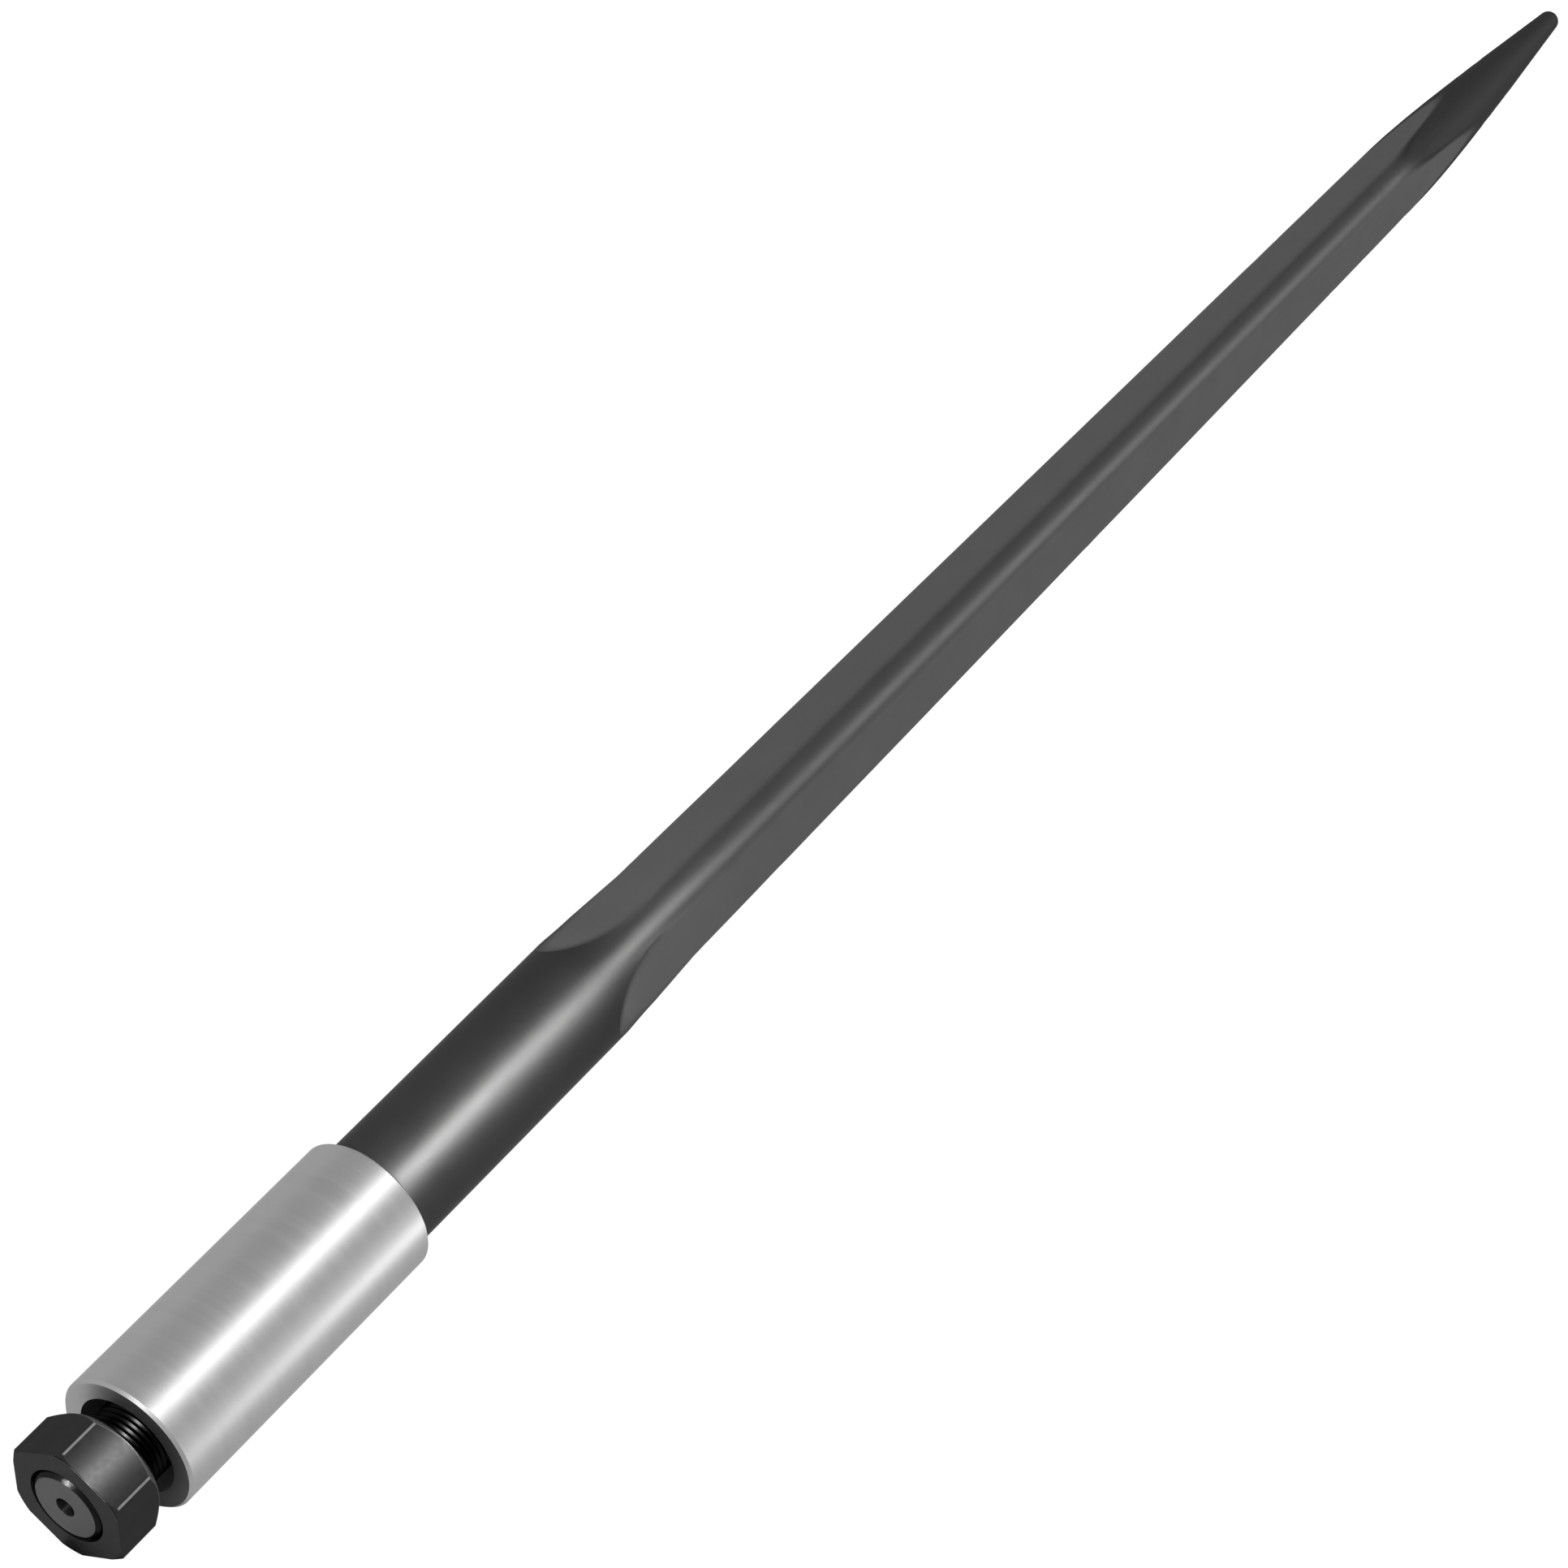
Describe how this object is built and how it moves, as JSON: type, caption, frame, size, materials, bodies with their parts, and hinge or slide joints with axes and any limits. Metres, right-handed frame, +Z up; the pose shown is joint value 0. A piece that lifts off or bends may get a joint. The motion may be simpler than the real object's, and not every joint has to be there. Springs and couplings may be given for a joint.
{
  "type": "bale spear",
  "caption": "Bale spear: a forged tine with flats and a round point, drawn into a bright weld-in sleeve by a black hex nut on its threaded stud.",
  "frame": {"origin": "on the tine's axis, halfway along the weld-in sleeve", "axes": "+X along the tine's axis towards its point, +Z up through one ridge of the tine's body"},
  "size_m": [0.9683, 0.051, 0.051],
  "materials": {
    "tine": "satin black lacquer on forged steel",
    "sleeve": "bright turned steel",
    "nut": "black oxide"
  },
  "bodies": {
    "root": {"tine": "tine", "weld_sleeve": "sleeve", "hex_nut": "nut"}
  },
  "joints": []
}
